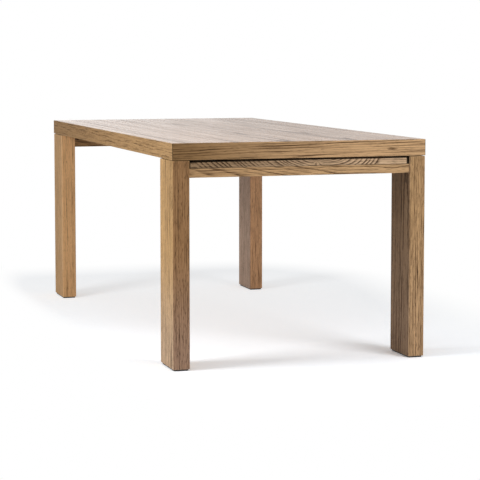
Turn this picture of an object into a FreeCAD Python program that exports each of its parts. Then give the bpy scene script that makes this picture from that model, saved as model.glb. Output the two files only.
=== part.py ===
import FreeCAD, Part
import math
import os

# A long dining table in solid wood, with a pull-out frame at each end that carries a loose leaf.
# Lengths are in millimetres. The origin is on the floor under the middle of the top, +X runs to
# the near end, +Y to the right-hand long side and +Z up.

# Overall size
table_length = 1935.0
table_width = 908.0
table_height = 762.0

# Top: boards edge to edge, with deep edge boards mitred round them
board_count = 6
board_thickness = 26.0
edge_height = 57.0
edge_thickness = 28.0
arris_round = 2.5

# Battens and end cleats under the boards
batten_width = 60.0
cleat_leg_margin = 13.0
batten_edge_round = 2.0
batten_middle_gap = 120.0
cleat_screw_share = 0.1

# Legs: slabs that stand flush under the corners, with a shadow gap over them
leg_depth = 160.0
leg_width = 58.5
leg_inset = 1.0
leg_gap = 2.0
leg_corner_round = 3.0
leg_top_round = 1.5
foot_chamfer = 2.0

# Pads nailed under the legs
pad_thickness = 5.0
pad_inset = 4.0
pad_corner_round = 4.0
pad_edge_round = 1.0
pad_pin_diameter = 4.0
pad_pin_length = 16.0
pad_pin_shares = (-0.28, 0.28)

# Steel plates that join the legs to the end cleats
plate_thickness = 3.0
plate_length = 96.0
plate_setback = 8.0
plate_reach = 70.0
plate_corner_round = 8.0
plate_screw_shares = (-0.32, 0.0, 0.32)

# Fixed rail at each end, tenoned into the legs
rail_height = 31.0
rail_thickness = 25.0
rail_setback = 4.0
rail_edge_round = 1.5
tenon_length = 40.0
tenon_thickness = 12.0
tenon_shoulder = 6.0

# Pull-out frame at each end: a flat bar over the rail, two runners and a rear tie
bar_height = 21.5
bar_depth = 85.0
bar_edge_round = 1.5
bar_top_gap = 5.5
bar_side_gap = 4.0
bar_rail_gap = 1.0
runner_width = 40.0
runner_edge_round = 1.5
tie_depth = 40.0
support_travel = 406.0

# Metal track under each runner, and the strip over it
track_wall = 2.5
track_flange = 22.0
track_lip = 28.0
track_setback = 3.0
track_plate_gap = 32.0
track_edge_round = 0.8
strip_side_margin = 2.0

# Stops that the rear tie meets when the frame is closed and when it is open
stop_length = 36.0
stop_width = 80.0
stop_height = 24.0
stop_edge_round = 3.0
bumper_thickness = 3.0
bumper_width = 60.0
bumper_height = 14.0
stop_screw_shares = (-0.28, 0.28)

# Screws and dowels: diameter, head diameter, head height, and bite into the last piece
wood_screw_diameter = 4.5
wood_screw_head_diameter = 9.0
wood_screw_head_height = 3.0
wood_screw_bite = 16.0
leg_screw_diameter = 6.5
leg_screw_head_diameter = 12.0
leg_screw_head_height = 3.0
leg_screw_bite = 65.0
plate_screw_diameter = 6.5
plate_screw_head_diameter = 13.0
plate_screw_head_height = 3.0
plate_screw_bite = 26.0
track_screw_diameter = 4.0
track_screw_head_diameter = 8.0
track_screw_head_height = 2.0
track_screw_bite = 20.0
socket_share = 0.5
socket_depth_share = 0.6
socket_sides = 6
dowel_diameter = 8.0
dowel_length = 44.0
bar_dowel_shares = (-0.25, 0.25)
tie_dowel_shares = (-0.25, 0.25)

# Clearances
running_clearance = 0.4
seat_clearance = 0.3
fit_clearance = 0.1
cut_overrun = 20.0
match_tolerance = 0.001

# The two ends and the two long sides, with the way that each one faces
ends = {"near": 1, "far": -1}
sides = {"left": -1, "right": 1}

# Levels, from the floor up
surface_level = table_height
board_underside = surface_level - board_thickness
edge_underside = surface_level - edge_height
leg_top = edge_underside - leg_gap
leg_foot = pad_thickness
plate_underside = edge_underside - plate_thickness
bar_top = edge_underside - bar_top_gap
bar_underside = bar_top - bar_height
rail_top = bar_underside - bar_rail_gap
rail_underside = rail_top - rail_height
lip_top = bar_underside - running_clearance
lip_underside = lip_top - track_wall
strip_underside = bar_top + running_clearance

# Places along the near end, from the outside in
half_length = table_length / 2
leg_outer_x = half_length - leg_inset
leg_inner_x = leg_outer_x - leg_depth
leg_middle_x = (leg_outer_x + leg_inner_x) / 2
rail_outer_x = leg_outer_x - rail_setback
rail_inner_x = rail_outer_x - rail_thickness
bar_inner_x = rail_outer_x - bar_depth
cleat_outer_x = half_length - edge_thickness
cleat_inner_x = leg_inner_x + cleat_leg_margin
cleat_screw_x = cleat_inner_x + cleat_screw_share * (cleat_outer_x - cleat_inner_x)
track_front_x = min(bar_inner_x, rail_inner_x) - track_setback
plate_outer_x = leg_middle_x + plate_length / 2
plate_inner_x = leg_middle_x - plate_length / 2

# Places along the near half, from the middle out
track_rear_x = batten_middle_gap / 2
inner_batten_x = track_rear_x + batten_width / 2
closed_stop_x = inner_batten_x + stop_length / 2
bumper_depth = seat_clearance + bumper_thickness
tie_rear_x = closed_stop_x + bumper_depth
tie_front_x = tie_rear_x + tie_depth
tie_open_x = tie_front_x + support_travel
open_stop_x = tie_open_x + bumper_depth
outer_batten_x = open_stop_x + stop_length / 2
batten_places = {
    "inner": inner_batten_x,
    "middle": (inner_batten_x + outer_batten_x) / 2,
    "outer": outer_batten_x,
}

# Places across the right-hand side, from the outside in
half_width = table_width / 2
batten_end_y = half_width - edge_thickness
leg_outer_y = half_width - leg_inset
leg_inner_y = leg_outer_y - leg_width
leg_middle_y = (leg_outer_y + leg_inner_y) / 2
plate_outer_y = leg_outer_y - plate_setback
plate_inner_y = leg_inner_y - plate_reach
bar_end_y = leg_inner_y - bar_side_gap
flange_outer_y = plate_inner_y - track_plate_gap
web_outer_y = flange_outer_y - track_flange
web_inner_y = web_outer_y - track_wall
runner_outer_y = web_inner_y - running_clearance
runner_inner_y = runner_outer_y - runner_width
runner_middle_y = (runner_outer_y + runner_inner_y) / 2
track_screw_y = (web_outer_y + flange_outer_y) / 2
board_width = table_width / board_count
board_middles = [board_width * (number + 1 / 2) - half_width for number in range(board_count)]

origin = FreeCAD.Vector(0, 0, 0)
along_x = FreeCAD.Vector(1, 0, 0)
along_y = FreeCAD.Vector(0, 1, 0)
along_z = FreeCAD.Vector(0, 0, 1)
half_turn = 180


def block(x_span, y_span, z_span):
    """A box between three pairs of places."""
    low_x, high_x = sorted(x_span)
    low_y, high_y = sorted(y_span)
    low_z, high_z = sorted(z_span)
    corner = FreeCAD.Vector(low_x, low_y, low_z)
    return Part.makeBox(high_x - low_x, high_y - low_y, high_z - low_z, corner)


def prism(outline, z_span):
    """A closed outline in plan, pushed up from one level to another."""
    low_z, high_z = sorted(z_span)
    points = [FreeCAD.Vector(x, y, low_z) for x, y in outline]
    face = Part.Face(Part.makePolygon(points + points[:1]))
    return face.extrude(FreeCAD.Vector(0, 0, high_z - low_z))


def runs_along(edge, direction):
    """Whether an edge's two ends lie along a direction from each other."""
    reach = edge.Vertexes[-1].Point - edge.Vertexes[0].Point
    return reach.cross(direction).Length < match_tolerance < reach.Length


def lies_at(edge, level):
    """Whether all of an edge lies at one level."""
    box = edge.BoundBox
    return abs(box.ZMin - level) < match_tolerance and abs(box.ZMax - level) < match_tolerance


def edges_of(shape, direction=None, level=None):
    """The edges of a shape that run along a direction, lie at a level, or both."""
    found = shape.Edges
    if direction is not None:
        found = [edge for edge in found if runs_along(edge, direction)]
    if level is not None:
        found = [edge for edge in found if lies_at(edge, level)]
    return found


def mirrored(shape, end=1, side=1):
    """A shape made for the near right-hand corner, carried to another end or side."""
    if end < 0:
        shape = shape.mirror(origin, along_x)
    if side < 0:
        shape = shape.mirror(origin, along_y)
    return shape


def screw(diameter, head_diameter, head_height, length, tapered, grow=0):
    """A screw that points up from its head, whose outer face is at the origin."""
    head_radius = head_diameter / 2 + grow
    radius = diameter / 2 + grow
    if tapered:
        head = Part.makeCone(head_radius, radius, head_height)
    else:
        head = Part.makeCylinder(head_radius, head_height)
    shank = Part.makeCylinder(radius, length + grow)
    whole = head.fuse(shank).removeSplitter()
    if grow:
        return whole
    socket_radius = socket_share * head_radius
    turns = [2 * math.pi * number / socket_sides for number in range(socket_sides)]
    outline = [(socket_radius * math.cos(turn), socket_radius * math.sin(turn)) for turn in turns]
    return whole.cut(prism(outline, (0, socket_depth_share * head_height)))


def pad_pin(grow=0):
    """A pin that points up from its foot."""
    return Part.makeCylinder(pad_pin_diameter / 2 + grow, pad_pin_length + grow)


def dowel(direction, middle, grow=0):
    """A dowel about its middle, along a direction."""
    length = dowel_length + 2 * grow
    start = middle - direction * (length / 2)
    return Part.makeCylinder(dowel_diameter / 2 + grow, length, start, direction)


class Fasteners:
    """The screws or dowels of one node, and the holes that they need."""

    def __init__(self):
        self.solids = []
        self.holes = []

    def add(self, make, place, upward=True):
        """Puts in one fastener, made by a function of how much larger its hole is."""
        for group, grow in ((self.solids, 0), (self.holes, fit_clearance)):
            shape = make(grow)
            if not upward:
                shape = shape.rotate(origin, along_x, half_turn)
            shape.translate(place)
            group.append(shape)

    def repeat(self, both_ends=True, both_sides=True):
        """Mirrors what is there to the other end and the other side."""
        for wanted, end, side in ((both_ends, -1, 1), (both_sides, 1, -1)):
            if wanted:
                self.solids += [mirrored(shape, end, side) for shape in self.solids]
                self.holes += [mirrored(shape, end, side) for shape in self.holes]


def batten_screws():
    """Up through each batten and end cleat into every board."""
    length = board_underside - edge_underside + wood_screw_bite
    group = Fasteners()
    for x in [cleat_screw_x, *batten_places.values()]:
        for y in board_middles:
            group.add(
                lambda grow: screw(wood_screw_diameter, wood_screw_head_diameter,
                                   wood_screw_head_height, length, True, grow),
                FreeCAD.Vector(x, y, edge_underside),
            )
    group.repeat(both_sides=False)
    return group


def leg_screws():
    """Down through each plate into the end grain of its leg."""
    group = Fasteners()
    for share in plate_screw_shares:
        group.add(
            lambda grow: screw(leg_screw_diameter, leg_screw_head_diameter,
                               leg_screw_head_height, plate_thickness + leg_screw_bite, True, grow),
            FreeCAD.Vector(leg_middle_x + share * plate_length, leg_middle_y, edge_underside),
            upward=False,
        )
    group.repeat()
    return group


def plate_screws():
    """Up through the reach of each plate into the end cleat."""
    length = plate_thickness + plate_screw_bite
    y = (leg_inner_y + plate_inner_y) / 2
    group = Fasteners()
    for share in plate_screw_shares:
        group.add(
            lambda grow: screw(plate_screw_diameter, plate_screw_head_diameter,
                               plate_screw_head_height, length, True, grow),
            FreeCAD.Vector(leg_middle_x + share * plate_length, y, plate_underside),
        )
    group.repeat()
    return group


def track_screws():
    """Up through the flange of each track into the end cleat and the battens."""
    length = track_screw_head_height + track_wall + track_screw_bite
    level = edge_underside - track_wall - track_screw_head_height
    group = Fasteners()
    for x in [cleat_screw_x, *batten_places.values()]:
        group.add(
            lambda grow: screw(track_screw_diameter, track_screw_head_diameter,
                               track_screw_head_height, length, False, grow),
            FreeCAD.Vector(x, track_screw_y, level),
        )
    group.repeat()
    return group


def stop_screws():
    """Up through each stop block into its batten."""
    group = Fasteners()
    for x in (inner_batten_x, outer_batten_x):
        for share in stop_screw_shares:
            group.add(
                lambda grow: screw(wood_screw_diameter, wood_screw_head_diameter,
                                   wood_screw_head_height, stop_height + wood_screw_bite, True, grow),
                FreeCAD.Vector(x, share * stop_width, edge_underside - stop_height),
            )
    group.repeat(both_sides=False)
    return group


def support_dowels():
    """In the near frame: from the bar into each runner, and from the tie into each runner."""
    level = (bar_top + bar_underside) / 2
    tie_middle_x = (tie_front_x + tie_rear_x) / 2
    group = Fasteners()
    for share in bar_dowel_shares:
        place = FreeCAD.Vector(bar_inner_x, runner_middle_y + share * runner_width, level)
        group.add(lambda grow: dowel(along_x, origin, grow), place)
    for share in tie_dowel_shares:
        place = FreeCAD.Vector(tie_middle_x + share * tie_depth, runner_inner_y, level)
        group.add(lambda grow: dowel(along_y, origin, grow), place)
    group.repeat(both_ends=False)
    return group


def foot_pads():
    """Flat pads on the floor, each with pins driven up into its leg."""
    pad = block((leg_inner_x + pad_inset, leg_outer_x - pad_inset),
                (leg_inner_y + pad_inset, leg_outer_y - pad_inset), (0, pad_thickness))
    pad = pad.makeFillet(pad_corner_round, edges_of(pad, along_z))
    pad = pad.makeFillet(pad_edge_round, edges_of(pad, level=0))
    group = Fasteners()
    for share in pad_pin_shares:
        group.add(pad_pin, FreeCAD.Vector(leg_middle_x + share * leg_depth, leg_middle_y, pad_thickness))
    group.solids = [pad.fuse(group.solids).removeSplitter()]
    group.repeat()
    return group


def top_pieces():
    """The boards and the four edge boards, cut from one block with eased edges."""
    outer = block((-half_length, half_length), (-half_width, half_width),
                  (edge_underside, surface_level))
    outer = outer.makeFillet(arris_round, outer.Edges)
    rims = []
    for level, inset in ((surface_level + cut_overrun, -cut_overrun), (board_underside, board_thickness)):
        x = half_length - inset
        y = half_width - inset
        corners = [FreeCAD.Vector(sign_x * x, sign_y * y, level)
                   for sign_x, sign_y in ((1, 1), (-1, 1), (-1, -1), (1, -1), (1, 1))]
        rims.append(Part.makePolygon(corners))
    panel = Part.makeLoft(rims, True, True)
    hollow = block((-cleat_outer_x, cleat_outer_x), (-batten_end_y, batten_end_y),
                   (edge_underside - cut_overrun, board_underside))
    boards = outer.common(panel)
    rim = outer.cut([panel, hollow])
    pieces = {}
    for number, middle in enumerate(board_middles, 1):
        slice_y = (middle - board_width / 2, middle + board_width / 2)
        strip = block((-table_length, table_length), slice_y, (0, surface_level + cut_overrun))
        pieces[f"top_board_{number}"] = boards.common(strip)
    near_x = half_length + cut_overrun
    right_y = half_width + cut_overrun
    inner_x = near_x - half_width
    levels = (edge_underside - cut_overrun, surface_level + cut_overrun)
    end_wedge = prism([(near_x, right_y), (inner_x, cut_overrun), (inner_x, -cut_overrun),
                       (near_x, -right_y)], levels)
    side_wedge = prism([(near_x, right_y), (inner_x, cut_overrun), (-inner_x, cut_overrun),
                        (-near_x, right_y)], levels)
    for name, end in ends.items():
        pieces[f"end_edge_board_{name}"] = rim.common(mirrored(end_wedge, end=end))
    for name, side in sides.items():
        pieces[f"long_edge_board_{name}"] = rim.common(mirrored(side_wedge, side=side))
    return pieces


def batten(middle_x):
    """A cross batten between the long edge boards."""
    strip = block((middle_x - batten_width / 2, middle_x + batten_width / 2),
                  (-batten_end_y, batten_end_y), (edge_underside, board_underside))
    return strip.makeFillet(batten_edge_round, edges_of(strip, along_y, edge_underside))


def end_cleat():
    """A wide batten against the end edge board, which the legs and tracks hang on."""
    return block((cleat_inner_x, cleat_outer_x), (-batten_end_y, batten_end_y),
                 (edge_underside, board_underside))


def leg():
    """A slab with eased edges and a chamfered foot, let in for its plate and the rail's tenon."""
    x_span = (leg_inner_x, leg_outer_x)
    y_span = (leg_inner_y, leg_outer_y)
    z_span = (leg_foot, leg_top)
    slab = block(x_span, y_span, z_span)
    slab = slab.makeFillet(leg_corner_round, edges_of(slab, along_z))
    slab = slab.makeFillet(leg_top_round, edges_of(slab, level=leg_top))
    foot = block(x_span, y_span, z_span)
    foot = foot.makeChamfer(foot_chamfer, edges_of(foot, level=leg_foot))
    plate_seat = block((plate_inner_x - seat_clearance, plate_outer_x + seat_clearance),
                       (leg_inner_y - cut_overrun, plate_outer_y + seat_clearance),
                       (plate_underside, leg_top + cut_overrun))
    tenon_x = (rail_inner_x + rail_outer_x) / 2
    mortise_half = tenon_thickness / 2 + fit_clearance
    mortise = block((tenon_x - mortise_half, tenon_x + mortise_half),
                    (leg_inner_y - cut_overrun, leg_inner_y + tenon_length + seat_clearance),
                    (rail_underside + tenon_shoulder - fit_clearance,
                     rail_top - tenon_shoulder + fit_clearance))
    return slab.common(foot).cut([plate_seat, mortise])


def leg_plate():
    """A flat plate let into the leg's top, reaching in under the end cleat."""
    plate = block((plate_inner_x, plate_outer_x), (plate_inner_y, plate_outer_y),
                  (plate_underside, edge_underside))
    return plate.makeFillet(plate_corner_round, edges_of(plate, along_z))


def end_rail():
    """The fixed rail between the legs, with a tenon at each end."""
    rail = block((rail_inner_x, rail_outer_x), (-leg_inner_y, leg_inner_y), (rail_underside, rail_top))
    rail = rail.makeFillet(rail_edge_round, edges_of(rail, along_y))
    tenon_x = (rail_inner_x + rail_outer_x) / 2
    tenon_end_y = leg_inner_y + tenon_length
    tenon = block((tenon_x - tenon_thickness / 2, tenon_x + tenon_thickness / 2),
                  (-tenon_end_y, tenon_end_y),
                  (rail_underside + tenon_shoulder, rail_top - tenon_shoulder))
    return rail.fuse(tenon).removeSplitter()


def support_bar():
    """The front of the pull-out frame: a flat board that slides between the legs, under their plates."""
    bar = block((bar_inner_x, rail_outer_x), (-bar_end_y, bar_end_y), (bar_underside, bar_top))
    return bar.makeFillet(bar_edge_round, edges_of(bar, along_y))


def support_runner():
    """A runner from the back of the bar to the back of the tie."""
    runner = block((tie_rear_x, bar_inner_x), (runner_inner_y, runner_outer_y), (bar_underside, bar_top))
    return runner.makeFillet(runner_edge_round, edges_of(runner, along_x))


def support_tie():
    """The cross piece between the rear ends of the runners."""
    tie = block((tie_rear_x, tie_front_x), (-runner_inner_y, runner_inner_y), (bar_underside, bar_top))
    return tie.makeFillet(runner_edge_round, edges_of(tie, along_y))


def runner_track():
    """A folded strip: a flange under the battens, a web beside the runner and a lip under it."""
    x_span = (track_rear_x, track_front_x)
    flange = block(x_span, (web_inner_y, flange_outer_y), (edge_underside - track_wall, edge_underside))
    web = block(x_span, (web_inner_y, web_outer_y), (lip_underside, edge_underside))
    lip = block(x_span, (web_outer_y - track_lip, web_outer_y), (lip_underside, lip_top))
    track = flange.fuse([web, lip]).removeSplitter()
    return track.makeFillet(track_edge_round, edges_of(track, along_x))


def glide_strip():
    """The strip under the battens that keeps the runner down."""
    return block((track_rear_x, track_front_x),
                 (runner_inner_y + strip_side_margin, runner_outer_y - strip_side_margin),
                 (strip_underside, edge_underside))


def stop_block(middle_x):
    """A block under a batten, in the way of the tie."""
    stop = block((middle_x - stop_length / 2, middle_x + stop_length / 2),
                 (-stop_width / 2, stop_width / 2), (edge_underside - stop_height, edge_underside))
    return stop.makeFillet(stop_edge_round, edges_of(stop, along_z))


def stop_bumpers():
    """A pad on the face of each stop block that the tie meets."""
    level = (bar_top + bar_underside) / 2
    pads = []
    for stop_x, pad_x in ((open_stop_x, open_stop_x - bumper_thickness),
                          (closed_stop_x, closed_stop_x + bumper_thickness)):
        pads.append(block((stop_x, pad_x), (-bumper_width / 2, bumper_width / 2),
                          (level - bumper_height / 2, level + bumper_height / 2)))
    return pads + [mirrored(pad, end=-1) for pad in pads]


def drilled(shape, holes):
    """A piece with every hole that reaches into it."""
    tools = [hole for hole in holes if shape.BoundBox.intersect(hole.BoundBox)]
    return shape.cut(tools) if tools else shape


def save(name, shape):
    """Writes one node and prints what it holds."""
    solids = shape.Solids
    whole = solids[0] if len(solids) == 1 else Part.makeCompound(solids)
    whole.exportStep(os.path.join("parts", name + ".step"))
    print(f"{name}: {len(solids)} solids, valid {whole.isValid()}, {whole.Volume:.0f} mm3")


def main():
    os.makedirs("parts", exist_ok=True)

    near_dowels = support_dowels()
    fasteners = {
        "batten_screws": batten_screws(),
        "leg_screws": leg_screws(),
        "plate_screws": plate_screws(),
        "track_screws": track_screws(),
        "stop_screws": stop_screws(),
        "foot_pads": foot_pads(),
        "support_dowels_near": near_dowels,
    }
    far_dowels = Part.makeCompound([mirrored(solid, end=-1) for solid in near_dowels.solids])
    holes = [hole for group in fasteners.values() for hole in group.holes]
    holes += [mirrored(hole, end=-1) for hole in near_dowels.holes]

    pieces = top_pieces()
    for end_name, end in ends.items():
        for place, middle_x in batten_places.items():
            pieces[f"cross_batten_{end_name}_{place}"] = mirrored(batten(middle_x), end)
        pieces[f"end_cleat_{end_name}"] = mirrored(end_cleat(), end)
        pieces[f"end_rail_{end_name}"] = mirrored(end_rail(), end)
        pieces[f"support_bar_{end_name}"] = mirrored(support_bar(), end)
        pieces[f"support_tie_{end_name}"] = mirrored(support_tie(), end)
        pieces[f"open_stop_{end_name}"] = mirrored(stop_block(outer_batten_x), end)
        pieces[f"closed_stop_{end_name}"] = mirrored(stop_block(inner_batten_x), end)
        for side_name, side in sides.items():
            corner = f"{end_name}_{side_name}"
            pieces[f"leg_{corner}"] = mirrored(leg(), end, side)
            pieces[f"leg_plate_{corner}"] = mirrored(leg_plate(), end, side)
            pieces[f"support_runner_{corner}"] = mirrored(support_runner(), end, side)
            pieces[f"runner_track_{corner}"] = mirrored(runner_track(), end, side)
            pieces[f"glide_strip_{corner}"] = mirrored(glide_strip(), end, side)

    for name, shape in pieces.items():
        save(name, drilled(shape, holes))
    for name, group in fasteners.items():
        save(name, Part.makeCompound(group.solids))
    save("support_dowels_far", far_dowels)
    save("stop_bumpers", Part.makeCompound(stop_bumpers()))


main()
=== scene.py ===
import math
import random
from collections import namedtuple
from dataclasses import dataclass

import bpy
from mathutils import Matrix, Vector


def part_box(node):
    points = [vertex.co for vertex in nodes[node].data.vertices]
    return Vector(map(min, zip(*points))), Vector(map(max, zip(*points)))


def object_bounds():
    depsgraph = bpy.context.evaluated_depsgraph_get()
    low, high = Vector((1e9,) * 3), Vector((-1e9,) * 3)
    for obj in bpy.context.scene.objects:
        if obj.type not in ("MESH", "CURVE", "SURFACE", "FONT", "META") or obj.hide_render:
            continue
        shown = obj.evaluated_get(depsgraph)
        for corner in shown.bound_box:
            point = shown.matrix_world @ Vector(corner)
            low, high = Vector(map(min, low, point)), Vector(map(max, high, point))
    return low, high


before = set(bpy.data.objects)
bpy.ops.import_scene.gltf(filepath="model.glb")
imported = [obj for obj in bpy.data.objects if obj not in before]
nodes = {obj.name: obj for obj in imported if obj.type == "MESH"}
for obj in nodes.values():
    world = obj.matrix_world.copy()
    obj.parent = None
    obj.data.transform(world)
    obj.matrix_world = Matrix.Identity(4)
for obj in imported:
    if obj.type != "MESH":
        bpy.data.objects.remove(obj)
cad_low, cad_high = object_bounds()
scene = bpy.context.scene

# Lengths are in metres, angles in degrees, powers in watts and colours in linear light.

# Camera, with its focus in pixels of the picture
PICTURE_SIDE = 480
CAMERA_PLACE = (6.4045, -1.9616, 1.0714)
CAMERA_TURN = 72.237
CAMERA_DIP = 4.767
CAMERA_FOCUS = 1713.64
CAMERA_SHIFT = -0.1
CAMERA_REACH = 100.0
SENSOR = 36.0

# World: its fill on the table, and the white that the eye and reflections see
WORLD_FILL = 0.30
WHITE = 1.0
WHITE_COLOUR = (1, 1, 1, 1)

# Lamps on either side of the near end
Lamp = namedtuple("Lamp", "place target size power")
LAMPS = {
    "left_lamp": Lamp((0.95, -2.7, 1.5), (0.3, -0.3, 0.4), (1.2, 1.0), 42),
    "right_lamp": Lamp((2.8, 1.3, 1.4), (0.8, 0.4, 0.5), (1.2, 1.2), 27),
}

# Strips of light behind the far end: left and right sides, and how bright they look
Strip = namedtuple("Strip", "left right glow")
BACK_PLACE = -5.0
BACK_AIM = 0.8
BACK_HEIGHTS = (0.3, 2.5)
BACK_STRIPS = [
    Strip(0.20, 0.60, 0.51),
    Strip(0.60, 0.90, 0.44),
    Strip(0.90, 1.20, 0.36),
    Strip(1.20, 1.55, 0.24),
    Strip(1.55, 2.00, 0.12),
    Strip(2.00, 2.80, 0.04),
]
STRIP_POWER = 4.0

# Floor: half its width, its colours to the eye and in bounced light, and its faint mottling
FLOOR_REACH = 30.0
FLOOR_WHITE = (1.63, 1.705, 1.79)
FLOOR_BOUNCE = (0.92, 0.92, 0.92)
FLOOR_MOTTLE = 30.0
FLOOR_MOTTLE_DETAIL = 3.0
FLOOR_MOTTLE_DEPTH = (0.02, 0.99)

# The floor fades to white over this distance, which counts this much on the left and at the far end
FLOOR_FADE = (0.0, 0.8)
FLOOR_LEFT = 4.0
FLOOR_FAR = 0.80

# Painted white glow over the floor, stronger toward the far end of the table: where it changes along the
# table, and its shares there
FLOOR_PAINTED_GLOW = ((-1.1, 1.0), (0.55, 0.03))

# Numbers of a Mix node's two colours among its inputs, and of the mixed colour among its outputs
MIX_COLOURS = (6, 7)
MIX_RESULT = 2


def make_camera():
    """The photograph's view of the near end."""
    data = bpy.data.cameras.new("camera")
    data.sensor_width = SENSOR
    data.lens = CAMERA_FOCUS / PICTURE_SIDE * SENSOR
    data.shift_y = CAMERA_SHIFT
    data.clip_end = CAMERA_REACH
    camera = bpy.data.objects.new("camera", data)
    camera.location = CAMERA_PLACE
    camera.rotation_euler = (math.radians(90 - CAMERA_DIP), 0, math.radians(CAMERA_TURN))
    scene.collection.objects.link(camera)
    scene.camera = camera


class Graph:
    """The node tree of a material or a world, built one node at a time."""

    def __init__(self, owner):
        self.owner = owner
        owner.use_nodes = True
        self.tree = owner.node_tree
        self.tree.nodes.clear()

    def put(self, socket, value):
        """Links a socket to another one, or sets its value."""
        if isinstance(value, bpy.types.NodeSocket):
            self.tree.links.new(value, socket)
        else:
            socket.default_value = value

    def add(self, kind, inputs=None, **settings):
        """A new node with its settings and inputs."""
        node = self.tree.nodes.new(kind)
        for key, value in settings.items():
            setattr(node, key, value)
        for key, value in (inputs or {}).items():
            self.put(node.inputs[key], value)
        return node

    def math(self, operation, *values, clamp=False):
        """One step of arithmetic."""
        inputs = dict(enumerate(values))
        return self.add("ShaderNodeMath", inputs, operation=operation, use_clamp=clamp).outputs[0]

    def times(self, first, second):
        """The product of two numbers."""
        return self.math("MULTIPLY", first, second)

    def plus(self, first, second):
        """The sum of two numbers."""
        return self.math("ADD", first, second)

    def minus(self, first, second):
        """The difference of two numbers."""
        return self.math("SUBTRACT", first, second)

    def lesser(self, first, second):
        """The lesser of two numbers."""
        return self.math("MINIMUM", first, second)

    def greater(self, first, second):
        """The greater of two numbers."""
        return self.math("MAXIMUM", first, second)

    def length(self, first, second):
        """The length of a step with two sides."""
        return self.math("SQRT", self.plus(self.times(first, first), self.times(second, second)))

    def span(self, value, low, high, to_low=0.0, to_high=1.0):
        """A smooth ramp from one span of values to another."""
        inputs = {0: value, 1: low, 2: high, 3: to_low, 4: to_high}
        return self.add("ShaderNodeMapRange", inputs, interpolation_type="SMOOTHSTEP").outputs[0]

    def places(self):
        """The three coordinates of a point on the object at rest."""
        source = self.add("ShaderNodeTexCoord").outputs["Object"]
        split = self.add("ShaderNodeSeparateXYZ", {0: source})
        return split.outputs[0], split.outputs[1], split.outputs[2]

    def join(self, x, y, z):
        """A vector of three numbers."""
        return self.add("ShaderNodeCombineXYZ", {0: x, 1: y, 2: z}).outputs[0]

    def noise(self, vector, scale=1.0, detail=2.0, roughness=0.5):
        """Smooth noise about one half."""
        inputs = {"Vector": vector, "Scale": scale, "Detail": detail, "Roughness": roughness}
        return self.add("ShaderNodeTexNoise", inputs, noise_dimensions="3D").outputs[0]

    def chance(self, value):
        """One random number for each whole number."""
        return self.add("ShaderNodeTexWhiteNoise", {"W": value}, noise_dimensions="1D").outputs[0]

    def ramp(self, value, stops):
        """A curve through stops of place and grey level."""
        node = self.add("ShaderNodeValToRGB", {0: value})
        elements = node.color_ramp.elements
        while len(elements) < len(stops):
            elements.new(0.5)
        for element, (place, level) in zip(elements, stops):
            element.position = place
            element.color = (level, level, level, 1)
        return node.outputs[0]

    def blend(self, share, first, second, mode="MIX"):
        """A mix of two colours."""
        node = self.add("ShaderNodeMix", data_type="RGBA", blend_type=mode)
        self.put(node.inputs[0], share)
        for number, colour in zip(MIX_COLOURS, (first, second)):
            linked = isinstance(colour, bpy.types.NodeSocket)
            self.put(node.inputs[number], colour if linked else (*colour, 1))
        return node.outputs[MIX_RESULT]

    def scale(self, colour, factor):
        """A colour made lighter or darker."""
        return self.add("ShaderNodeVectorMath", {0: colour, "Scale": factor}, operation="SCALE").outputs[0]

    def bump(self, height, strength, distance):
        """A normal that follows a height."""
        inputs = {"Strength": strength, "Distance": distance, "Height": height}
        return self.add("ShaderNodeBump", inputs).outputs[0]

    def seen(self):
        """One for the eye, mirrors and glass, and nothing for bounced light."""
        path = self.add("ShaderNodeLightPath").outputs
        seen = self.greater(path["Is Camera Ray"], path["Is Glossy Ray"])
        return self.greater(seen, path["Is Transmission Ray"])

    def surface(self, colour, roughness, normal, **settings):
        """The shader and the output, which finish a material."""
        inputs = {"Base Color": colour, "Roughness": roughness, "Normal": normal, **settings}
        shader = self.add("ShaderNodeBsdfPrincipled", inputs)
        self.add("ShaderNodeOutputMaterial", {"Surface": shader.outputs[0]})
        return self.owner


def make_floor():
    """A pale floor that keeps the shadows, fades to white away from the table, and has a painted glow
    toward the far end.
    """
    data = bpy.data.meshes.new("floor")
    signs = [(-1, -1), (1, -1), (1, 1), (-1, 1)]
    data.from_pydata([(x * FLOOR_REACH, y * FLOOR_REACH, 0) for x, y in signs], [], [(0, 1, 2, 3)])
    floor = bpy.data.objects.new("floor", data)
    scene.collection.objects.link(floor)
    graph = Graph(bpy.data.materials.new("floor"))
    x, y, z = graph.places()
    out_far = graph.times(graph.greater(graph.minus(cad_low.x, x), 0.0), FLOOR_FAR)
    out_x = graph.greater(graph.minus(x, cad_high.x), out_far)
    out_left = graph.times(graph.greater(graph.minus(cad_low.y, y), 0.0), FLOOR_LEFT)
    out_y = graph.greater(graph.minus(y, cad_high.y), out_left)
    fade = graph.span(graph.length(out_x, out_y), *FLOOR_FADE)
    # Painted glow: white mixed into the floor by place along the table, which lightens the floor and its
    # shadows toward the far end
    glow_places, glow_shares = FLOOR_PAINTED_GLOW
    fade = graph.greater(fade, graph.span(x, *glow_places, *glow_shares))
    seen = graph.seen()
    colour = graph.blend(seen, FLOOR_BOUNCE, FLOOR_WHITE)
    mottle = graph.noise(graph.join(x, y, z), FLOOR_MOTTLE, FLOOR_MOTTLE_DETAIL)
    colour = graph.scale(colour, graph.math("MULTIPLY_ADD", mottle, *FLOOR_MOTTLE_DEPTH))
    diffuse = graph.add("ShaderNodeBsdfDiffuse", {"Color": colour}).outputs[0]
    white = graph.add("ShaderNodeEmission", {"Color": WHITE_COLOUR, "Strength": WHITE}).outputs[0]
    mix = graph.add("ShaderNodeMixShader", {0: graph.times(fade, seen), 1: diffuse, 2: white})
    graph.add("ShaderNodeOutputMaterial", {"Surface": mix.outputs[0]})
    data.materials.append(graph.owner)


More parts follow.
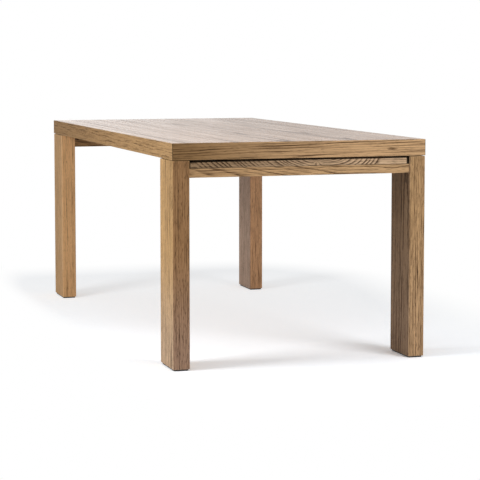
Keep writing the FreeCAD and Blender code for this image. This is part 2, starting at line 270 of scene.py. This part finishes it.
def make_world():
    """White to the eye and in reflections, and a soft fill on everything else."""
    world = bpy.data.worlds.new("world")
    scene.world = world
    graph = Graph(world)
    strength = graph.add("ShaderNodeMapRange", {0: graph.seen(), 3: WORLD_FILL, 4: WHITE}).outputs[0]
    back = graph.add("ShaderNodeBackground", {"Color": WHITE_COLOUR, "Strength": strength})
    graph.add("ShaderNodeOutputWorld", {"Surface": back.outputs[0]})


def make_lamp(name, lamp, mirrored=False):
    """A soft rectangular lamp that the camera doesn't see, nor reflections unless it is mirrored."""
    data = bpy.data.lights.new(name, "AREA")
    data.shape = "RECTANGLE"
    data.size, data.size_y = lamp.size
    data.energy = lamp.power
    light = bpy.data.objects.new(name, data)
    light.location = lamp.place
    light.rotation_euler = (Vector(lamp.target) - Vector(lamp.place)).to_track_quat("-Z", "Y").to_euler()
    light.visible_camera = False
    light.visible_glossy = mirrored
    scene.collection.objects.link(light)


def make_back_light():
    """Upright strips side by side behind the far end, which the top mirrors."""
    low, high = BACK_HEIGHTS
    for number, strip in enumerate(BACK_STRIPS, 1):
        middle = (strip.left + strip.right) / 2
        width, height = strip.right - strip.left, high - low
        place = (BACK_PLACE, middle, (low + high) / 2)
        power = strip.glow * width * height * STRIP_POWER
        lamp = Lamp(place, (0.0, middle, BACK_AIM), (width, height), power)
        make_lamp(f"back_strip_{number}", lamp, mirrored=True)


# Wood colours: summer wood, spring wood, pores, and edges lightened by wear and by a painted highlight
Palette = namedtuple("Palette", "light dark pore worn")
OAK = Palette((0.55, 0.335, 0.155), (0.100, 0.052, 0.022), (0.050, 0.028, 0.014), (0.66, 0.44, 0.23))
PLAIN_OAK = Palette((0.54, 0.36, 0.195), (0.31, 0.19, 0.093), (0.20, 0.12, 0.055), (0.61, 0.44, 0.26))

# A tint that changes along an axis of the table, used for painted light and shade, and a place, from a
# board's middle, that rings go round
Fade = namedtuple("Fade", "axis start stop first last")
Eye = namedtuple("Eye", "along across reach_along reach_across turns")

# Numbers of the axes along, across and through the grain
AXES = {"X": (0, 1, 2), "Y": (1, 2, 0), "Z": (2, 0, 1)}

# Each board takes its noise from a place of its own, up to this far from the middle
NOISE_SHIFT = 40
NOISE_MIDDLE = 0.5

# Noise in the grain: how often it changes for each metre along and across, detail and roughness
DRIFT_NOISE = (2.4, 5.0, 1.0)
WAVER_NOISE = (14.0, 45.0, 3.0)
EDGE_BREAKUP_NOISE = (18.0, 90.0, 2.0)

# The same without the first number, which is this many times the board's run
BREAK_RUN = 1.5
BREAK_NOISE = (120.0, 2.0)
STREAK_NOISE = (210.0, 3.0, 0.65)
FIBRE_RUN = 2.0
FIBRE_NOISE = (400.0, 2.0, 0.7)

# Rings: shade through one year, how often and how far their widths change, and how deep each is
RING_SHADES = [(0.0, 0.65), (0.06, 1.0), (0.17, 0.85), (0.33, 0.36), (0.55, 0.10), (0.91, 0.0), (1.0, 0.65)]
RING_CHANGE = 0.31
RING_UNEVEN = 2.2
RING_DETAIL = 1.0
RING_DEPTH = (0.9, 0.30)

# Breaks in the rings: a span of the noise, and how deep the rings are at its ends
BREAK_SPAN = (0.30, 0.62, 0.45, 1.0)

# Pores: detail and cut-off of their noise, and how much deeper they are in dark rings
PORE_DETAIL = 1.0
PORE_SPAN = (0.56, 0.68)
PORE_IN_RING = 0.6

# Edges lightened by wear and by a painted highlight: how far in they reach, and how uneven that is
EDGE_WEAR_AND_HIGHLIGHT_REACH = 0.006
EDGE_BREAKUP_LEVEL = 0.42
EDGE_BREAKUP_DEPTH = 0.012

# Finish: added roughness of dark wood and pores, and depth of rings and of all relief
DARK_ROUGHNESS = 0.14
PORE_ROUGHNESS = 0.25
RING_RELIEF = 0.4
RELIEF_DEPTH = 0.0003


@dataclass
class Cut:
    """How a board was cut from the tree and finished."""
    # The pith's place across the board and behind its middle, and how it leans along the board
    pith: tuple = (0.0, 0.09)
    lean: tuple = (0.0, 0.02)
    # The stretch of the board in which the pith leans, where that isn't the whole board
    bend: tuple = None
    # Width of a ring, its long drift and its short wavering, and places that the rings go round
    ring: float = 0.008
    wander: float = 0.012
    ripple: float = 0.0022
    eyes: tuple = ()
    # Streaks for each metre along the grain, and patches and pores along and across it
    run: float = 5.0
    clouds: tuple = (1.8, 9.0)
    dashes: tuple = (40.0, 480.0)
    # How strongly rings, streaks, fibres, patches, pores, and edges lightened by wear and a painted
    # highlight show
    figure: float = 1.0
    streaks: float = 0.8
    fibres: float = 1.5
    patches: float = 0.45
    dash_depth: float = 0.30
    edge_wear_and_highlight: float = 0.22
    # Colours, their brightness and tint, tints that change along an axis, which paint in light and shade,
    # and a function for dark mitre joints and painted shade round the near bar's slot
    colours: Palette = OAK
    tone: float = 1.0
    tint: tuple = (1.0, 1.0, 1.0)
    fades: tuple = ()
    shade: object = None
    # Roughness of the lightest wood, strength of its reflections, and strength of its relief
    roughness: float = 0.55
    shine: float = 0.06
    relief: float = 0.35


class Wood(Graph):
    """Growth rings about a pith that leans and wanders, with pores and streaks along the grain."""

    def __init__(self, name, along, box, seed, cut):
        super().__init__(bpy.data.materials.new(name))
        self.cut = cut
        self.point = self.places()
        low, high = box
        middle = (low + high) / 2
        self.grain = [self.minus(self.point[axis], middle[axis]) for axis in AXES[along]]
        draw = random.Random(seed)
        self.shift = [draw.uniform(-NOISE_SHIFT, NOISE_SHIFT) for _ in range(3)]

    def stretched(self, along, across, detail=2.0, roughness=0.5):
        """Noise drawn out along the grain."""
        steps = zip(self.grain, (along, across, across), self.shift)
        vector = self.join(*[self.math("MULTIPLY_ADD", *step) for step in steps])
        return self.noise(vector, 1.0, detail, roughness)

    def swing(self, reach, noise):
        """Noise that reaches as far to either side."""
        return self.math("MULTIPLY_ADD", self.stretched(*noise), 2 * reach, -reach)

    def years(self):
        """How many rings lie between the pith and a point."""
        cut = self.cut
        along, across, through = self.grain
        leaning = along
        if cut.bend:
            start, stop = cut.bend
            leaning = self.lesser(self.greater(along, start), stop)
        aside = self.plus(self.swing(cut.wander, DRIFT_NOISE), -cut.pith[0])
        aside = self.plus(self.math("MULTIPLY_ADD", leaning, -cut.lean[0], across), aside)
        depth = self.plus(self.math("MULTIPLY_ADD", leaning, cut.lean[1], through), cut.pith[1])
        radius = self.plus(self.length(aside, depth), self.swing(cut.ripple, WAVER_NOISE))
        years = self.times(radius, 1 / cut.ring)
        for eye in cut.eyes:
            out_along = self.times(self.minus(along, eye.along), 1 / eye.reach_along)
            out_across = self.times(self.minus(across, eye.across), 1 / eye.reach_across)
            square = self.plus(self.times(out_along, out_along), self.times(out_across, out_across))
            bulge = self.math("EXPONENT", self.times(square, -1.0))
            years = self.math("MULTIPLY_ADD", bulge, eye.turns, years)
        place = self.join(self.times(years, RING_CHANGE), self.shift[0], self.shift[1])
        return self.math("MULTIPLY_ADD", self.noise(place, 1.0, RING_DETAIL), RING_UNEVEN, years)

    def bands(self):
        """The dark part of each ring, of uneven depth and broken along the grain."""
        years = self.years()
        year = self.chance(self.plus(self.math("FLOOR", years), round(self.shift[2])))
        depth = self.math("MULTIPLY_ADD", year, *RING_DEPTH)
        band = self.times(self.ramp(self.math("FRACT", years), RING_SHADES), depth)
        breaks = self.stretched(BREAK_RUN * self.cut.run, *BREAK_NOISE)
        return self.times(band, self.span(breaks, *BREAK_SPAN))

    def darkness(self, band):
        """Rings, streaks, fibres and patches together, from nothing to one."""
        cut = self.cut
        layers = [
            (self.stretched(cut.run, *STREAK_NOISE), cut.streaks),
            (self.stretched(FIBRE_RUN * cut.run, *FIBRE_NOISE), cut.fibres),
            (self.stretched(*cut.clouds), cut.patches),
        ]
        dark = self.times(band, cut.figure)
        for noise, strength in layers:
            dark = self.math("MULTIPLY_ADD", self.minus(noise, NOISE_MIDDLE), 2 * strength, dark)
        return self.math("MAXIMUM", dark, 0.0, clamp=True)

    def worn(self, box):
        """One at the edges of a box, fading unevenly to nothing a short way in, for wear and a painted
        highlight.
        """
        gaps = []
        for place, low, high in zip(self.point, *box):
            gaps.append(self.lesser(self.minus(place, low), self.minus(high, place)))
        first, second, third = gaps
        wider = self.greater(first, second)
        middle = self.greater(self.lesser(first, second), self.lesser(wider, third))
        breakup = self.times(self.minus(self.stretched(*EDGE_BREAKUP_NOISE), EDGE_BREAKUP_LEVEL), EDGE_BREAKUP_DEPTH)
        return self.span(self.plus(middle, breakup), 0.0, EDGE_WEAR_AND_HIGHLIGHT_REACH, 1.0, 0.0)

    def tinted(self, colour):
        """A colour with the board's fades, which paint in light and shade, and its shade function: dark
        mitre joints on edge boards, painted shade round the near bar's slot.
        """
        for fade in self.cut.fades:
            place = self.point[AXES[fade.axis][0]]
            tint = self.blend(self.span(place, fade.start, fade.stop), fade.first, fade.last)
            colour = self.blend(1.0, colour, tint, "MULTIPLY")
        if self.cut.shade:
            colour = self.scale(colour, self.cut.shade(self))
        return colour

    def finished(self, worn_and_highlit_box):
        """The whole material, with the edges of a box lightened by wear and a painted highlight."""
        cut = self.cut
        tint = [cut.tone * share for share in cut.tint]
        shades = [tuple(level * share for level, share in zip(colour, tint)) for colour in cut.colours]
        light, dark, pore, worn = shades
        band = self.bands()
        darkness = self.darkness(band)
        pores = self.span(self.stretched(*cut.dashes, PORE_DETAIL), *PORE_SPAN)
        hollow = self.times(pores, self.math("MULTIPLY_ADD", band, PORE_IN_RING, cut.dash_depth))
        colour = self.blend(darkness, light, dark)
        colour = self.blend(hollow, colour, pore)
        colour = self.blend(self.times(self.worn(worn_and_highlit_box), cut.edge_wear_and_highlight), colour, worn)
        roughness = self.math("MULTIPLY_ADD", darkness, DARK_ROUGHNESS, cut.roughness)
        roughness = self.math("MULTIPLY_ADD", hollow, PORE_ROUGHNESS, roughness)
        height = self.minus(self.times(band, -RING_RELIEF), hollow)
        normal = self.bump(height, cut.relief, RELIEF_DEPTH)
        return self.surface(self.tinted(colour), roughness, normal, **{"Specular IOR Level": cut.shine})


# Dark line at the mitres of the edge boards
MITRE_LINE = 0.0030
MITRE_SHADE = 0.35

# Shade painted into the wood round the near bar's slot: how dark it is, the blur of its edges, and its
# depth at the bar's ends
SLOT_PAINTED_SHADE = 0.05
SLOT_BLUR = 0.0008
SLOT_DEPTH = 0.020

# Where the shade is painted on the bar: the slant of its line, how far down the front and in from one end,
# and how far back
BAR_LEAN = -0.0022
BAR_ARRIS = 0.0023
BAR_END = 0.0058
BAR_DEPTH = (0.011, 0.004)


def mitre_shade(wood):
    """Dark along the mitres of the edge boards, and one elsewhere."""
    x, y, _ = wood.point
    out_x = wood.minus(cad_high.x, wood.math("ABSOLUTE", x))
    out_y = wood.minus(cad_high.y, wood.math("ABSOLUTE", y))
    away = wood.math("ABSOLUTE", wood.minus(out_x, out_y))
    return wood.span(away, MITRE_LINE / 2, MITRE_LINE, MITRE_SHADE, 1.0)


def slot_painted_shade(wood, dark):
    """A factor for painted shade: nearly black where the slot is dark, and one elsewhere."""
    return wood.math("MULTIPLY_ADD", dark, SLOT_PAINTED_SHADE - 1.0, 1.0)


def bar_painted_shade(wood):
    """Painted shade along the near bar's upper front arris and at its right end, where the slot is wide."""
    x, y, z = wood.point
    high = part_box("support_bar_near")[1]
    level = wood.math("MULTIPLY_ADD", y, BAR_LEAN, z)
    arris = wood.span(level, high.z - BAR_ARRIS, high.z - BAR_ARRIS + SLOT_BLUR)
    end = wood.span(y, high.y - BAR_END, high.y - BAR_END + SLOT_BLUR)
    front = wood.span(x, *[high.x - depth for depth in BAR_DEPTH])
    return slot_painted_shade(wood, wood.times(front, wood.greater(arris, end)))


def leg_painted_shade(wood):
    """Painted shade on the inner face of a near leg, beside the end of the bar."""
    x, y, z = wood.point
    low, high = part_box("support_bar_near")
    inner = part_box("leg_near_right")[0].y
    out_y = wood.math("ABSOLUTE", y)
    dark = wood.span(x, high.x - SLOT_DEPTH, high.x - SLOT_DEPTH + SLOT_BLUR)
    dark = wood.times(dark, wood.span(x, high.x - SLOT_BLUR, high.x, 1.0, 0.0))
    dark = wood.times(dark, wood.span(out_y, inner + SLOT_BLUR, inner + 2 * SLOT_BLUR, 1.0, 0.0))
    dark = wood.times(dark, wood.span(z, low.z, low.z + SLOT_BLUR))
    return slot_painted_shade(wood, dark)


# Wood of the top boards, from left to right
TOP_SEED = 101
TOP_BOARDS = [
    dict(pith=(0.13, 0.03), lean=(0.004, 0.010), ring=0.0105, tone=1.02),
    dict(pith=(-0.11, 0.02), lean=(-0.006, 0.008), ring=0.0120, tone=1.08),
    dict(pith=(0.02, 0.035), lean=(0.010, 0.020), ring=0.0110, tone=1.00),
    dict(pith=(0.15, 0.02), lean=(-0.005, 0.006), ring=0.0100, tone=1.05),
    dict(pith=(-0.03, 0.040), lean=(0.008, 0.018), ring=0.0115, tone=0.97),
    dict(pith=(-0.14, 0.03), lean=(0.003, 0.010), ring=0.0105, tone=1.00),
]
TOP_FINISH = dict(
    roughness=0.25, shine=0.5, relief=0.05, tint=(1.20, 1.13, 1.30), figure=1.35, wander=0.008,
    ripple=0.0012, run=0.8, streaks=1.5, fibres=1.2, patches=1.0, clouds=(0.6, 42.0), dashes=(40.0, 700.0))

# Wood of the edge boards
EDGE_BOARDS = {
    "end_edge_board_near": dict(
        along="Y", seed=21, pith=(-0.075, 0.05), lean=(0.05, 0.02), ring=0.0088, figure=1.35, tone=1.10,
        run=2.2, wander=0.010,
        # Painted light, with some of the board's own tone: darker to the left, lighter and bluer to the
        # right
        fades=[Fade("Y", cad_low.y, 0.08, (0.56, 0.53, 0.50), (1.06, 1.09, 1.23))],
        eyes=[Eye(-0.09, -0.024, 0.06, 0.010, 1.2), Eye(0.33, -0.006, 0.05, 0.007, 0.9),
              Eye(0.41, -0.002, 0.03, 0.006, 0.5)]),
    "end_edge_board_far": dict(
        along="Y", seed=22, pith=(0.05, 0.06), lean=(-0.04, 0.02), ring=0.0085, figure=1.2, run=2.2),
    "long_edge_board_left": dict(
        along="X", seed=23, pith=(0.10, 0.06), lean=(0.004, 0.008), ring=0.006, figure=0.6, tone=0.74,
        # Painted light: darker toward the far end
        streaks=0.5, fades=[Fade("X", -0.70, 1.10, (0.84, 0.78, 0.66), (1.09, 1.08, 1.03))]),
    "long_edge_board_right": dict(
        along="X", seed=24, pith=(-0.10, 0.06), lean=(0.006, 0.008), ring=0.006, figure=0.8, run=3.0),
}

# Some faces of the legs carry painted light and shade, a tint of their own which changes between these
# depths inside them
END_DEPTHS = (0.003, 0.0)
FAR_END_DEPTHS = (0.004, 0.0015)
INNER_DEPTHS = (0.0005, 0.0035)
END_CHANGE = [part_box("leg_near_left")[1].x - depth for depth in END_DEPTHS]
FAR_END_CHANGE = [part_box("leg_far_left")[1].x - depth for depth in FAR_END_DEPTHS]
INNER_CHANGE = [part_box("leg_near_right")[0].y + depth for depth in INNER_DEPTHS]

# Wood of the legs
LEG_WOOD = dict(
    lean=(0.004, 0.006), ring=0.0056, figure=0.7, wander=0.006, ripple=0.0012, patches=0.35,
    dashes=(55.0, 480.0), dash_depth=0.42)
LEGS = {
    "leg_near_left": dict(
        seed=31, pith=(0.06, 0.16), tone=1.02, shade=leg_painted_shade,
        # Painted shade on the end face, and painted light from the floor making the lower part lighter and
        # bluer
        fades=[Fade("X", *END_CHANGE, (1.0, 1.0, 1.0), (0.715, 0.645, 0.67)),
               Fade("Z", 0.0, 0.45, (1.09, 1.24, 1.72), (1.0, 1.0, 0.95))]),
    "leg_near_right": dict(
        seed=32, pith=(0.05, 0.14), tone=1.02, shade=leg_painted_shade, figure=1.25,
        # Painted shadow on the inner face, and painted light from the floor making the lower part lighter
        # and bluer
        fades=[Fade("Y", *INNER_CHANGE, (0.56, 0.58, 0.70), (1.0, 1.0, 1.04)),
               Fade("Z", 0.0, 0.60, (1.13, 1.17, 1.33), (0.98, 0.99, 1.01))]),
    "leg_far_left": dict(
        # Painted light on the inner end face, which is lighter; the stronger edge wear is partly a painted
        # highlight
        seed=33, pith=(-0.15, 0.10), tone=1.08, figure=0.4, dash_depth=0.18, streaks=0.6, edge_wear_and_highlight=0.5,
        fades=[Fade("X", *FAR_END_CHANGE, (1.0, 0.98, 0.98), (1.20, 1.15, 1.18))]),
    "leg_far_right": dict(
        seed=34, pith=(-0.06, 0.13), tone=1.02, figure=0.55, dash_depth=0.28,
        # Painted light on the inner face: a bluer tint
        fades=[Fade("Y", *INNER_CHANGE, (0.93, 1.07, 1.72), (1.01, 0.93, 1.07))]),
}

# Wood of the rails and of the sliding bars over them
RAIL_WOOD = dict(
    along="Y", pith=(-0.06, 0.06), lean=(-0.14, 0.06), bend=(-0.5, 0.13), ring=0.0080, tone=1.15,
    eyes=[Eye(0.335, 0.0, 0.045, 0.03, 0.6)],
    # Painted light: a slight bluish tint that shifts along the rail
    fades=[Fade("Y", -0.39, 0.39, (1.03, 1.04, 1.12), (0.97, 1.0, 1.11))])
BAR_WOOD = dict(
    along="Y", pith=(0.03, -0.07), lean=(-0.07, 0.33), bend=(-0.37, 0.29), ring=0.0056, figure=2.3,
    ripple=0.0016, eyes=[Eye(0.055, 0.0, 0.012, 0.008, 2.0)],
    # Painted light and shade: much darker to the left, lighter and bluer to the right
    fades=[Fade("Y", -0.39, 0.25, (0.71, 0.76, 0.93), (1.25, 1.41, 1.88))])
END_PIECES = {
    "end_rail_near": dict(seed=41, **RAIL_WOOD),
    "support_bar_near": dict(seed=42, shade=bar_painted_shade, **BAR_WOOD),
    "end_rail_far": dict(seed=43, **RAIL_WOOD),
    "support_bar_far": dict(seed=44, **BAR_WOOD),
}

# Plain oak of the pieces underneath, by the starts of their names
HIDDEN_SEED = 201
CROSS_WOOD = dict(along="Y", figure=0.7, pith=(0.03, 0.08))
HIDDEN_WOOD = {
    "cross_batten": CROSS_WOOD,
    "end_cleat": CROSS_WOOD,
    "support_tie": CROSS_WOOD,
    "open_stop": CROSS_WOOD,
    "closed_stop": CROSS_WOOD,
    "support_runner": dict(along="X", figure=0.7, pith=(0.05, 0.09)),
    "support_dowels": dict(along="X", figure=0.3, pith=(0.2, 0.2)),
}

# Metal and plastic: colour, and roughness where they are smoothest
SCREW_METAL = dict(colour=(0.50, 0.50, 0.49), roughness=0.30)
TRACK_METAL = dict(colour=(0.62, 0.63, 0.64), roughness=0.26)
BLACK_PLASTIC = dict(colour=(0.028, 0.027, 0.026), roughness=0.45)
BLACK_PIECES = ("leg_plate", "glide_strip", "foot_pads", "stop_bumpers")
FINE_RELIEF = 0.0001

# Brushing of the metal along X and across, and its dull patches
BRUSH_SCALES = (20.0, 900.0, 900.0)
BRUSH_ROUGHNESS = 0.18
BRUSH_RELIEF = 0.15
DULL_SCALE = 45.0
DULL_DETAIL = 3.0
DULL_SHARE = 0.6
DULL_SHADE = 0.72

# Grain and cloudy shade of the plastic
GRAIN_SCALE = 1400.0
GRAIN_ROUGHNESS = 0.2
GRAIN_RELIEF = 0.2
CLOUD_SCALE = 60.0
CLOUD_SHADE = 0.75


def darker(colour, share):
    """A colour times a share."""
    return tuple(level * share for level in colour)


def metal(name, colour, roughness):
    """Brushed metal with a little dulling."""
    graph = Graph(bpy.data.materials.new(name))
    places = graph.places()
    scaled = [graph.times(place, scale) for place, scale in zip(places, BRUSH_SCALES)]
    brushed = graph.noise(graph.join(*scaled))
    dull = graph.noise(graph.join(*places), DULL_SCALE, DULL_DETAIL)
    shade = graph.blend(graph.times(dull, DULL_SHARE), colour, darker(colour, DULL_SHADE))
    rough = graph.math("MULTIPLY_ADD", brushed, BRUSH_ROUGHNESS, roughness)
    return graph.surface(shade, rough, graph.bump(brushed, BRUSH_RELIEF, FINE_RELIEF), Metallic=1.0)


def moulded(name, colour, roughness):
    """Moulded plastic or rubber, or a powder coat, with a fine grain."""
    graph = Graph(bpy.data.materials.new(name))
    place = graph.join(*graph.places())
    grain = graph.noise(place, GRAIN_SCALE)
    cloud = graph.noise(place, CLOUD_SCALE)
    shade = graph.blend(cloud, colour, darker(colour, CLOUD_SHADE))
    rough = graph.math("MULTIPLY_ADD", grain, GRAIN_ROUGHNESS, roughness)
    return graph.surface(shade, rough, graph.bump(grain, GRAIN_RELIEF, FINE_RELIEF))


def dress(name, material):
    """Puts one material on a CAD node."""
    data = nodes[name].data
    data.materials.clear()
    data.materials.append(material)


def dress_wood(name, along, seed, worn_and_highlit_box=None, **settings):
    """Gives a node wood of its own, with its edges, or those of a larger box, lightened by wear and a
    painted highlight.
    """
    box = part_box(name)
    wood = Wood(name, along, box, seed, Cut(**settings))
    dress(name, wood.finished(worn_and_highlit_box or box))


def dress_oak():
    """The pieces that the photograph shows."""
    edge_low, edge_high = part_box("end_edge_board_near")
    top_box = (Vector((cad_low.x, cad_low.y, edge_low.z)), Vector((cad_high.x, cad_high.y, edge_high.z)))
    for number, settings in enumerate(TOP_BOARDS):
        dress_wood(f"top_board_{number + 1}", "X", TOP_SEED + number, top_box, **TOP_FINISH, **settings)
    for name, settings in EDGE_BOARDS.items():
        dress_wood(name, worn_and_highlit_box=top_box, shade=mitre_shade, **settings)
    for name, settings in LEGS.items():
        dress_wood(name, "Z", **{**LEG_WOOD, **settings})
    for name, settings in END_PIECES.items():
        dress_wood(name, **settings)


def dress_hardware():
    """The pieces inside and underneath."""
    for seed, name in enumerate(sorted(nodes), HIDDEN_SEED):
        for start, settings in HIDDEN_WOOD.items():
            if name.startswith(start):
                dress_wood(name, seed=seed, colours=PLAIN_OAK, **settings)
        if name.endswith("_screws"):
            dress(name, metal(name, **SCREW_METAL))
        elif name.startswith("runner_track"):
            dress(name, metal(name, **TRACK_METAL))
        elif name.startswith(BLACK_PIECES):
            dress(name, moulded(name, **BLACK_PLASTIC))


make_camera()
make_world()
make_floor()
for lamp_name, lamp in LAMPS.items():
    make_lamp(lamp_name, lamp)
make_back_light()
dress_oak()
dress_hardware()
scene.view_settings.view_transform = "Standard"
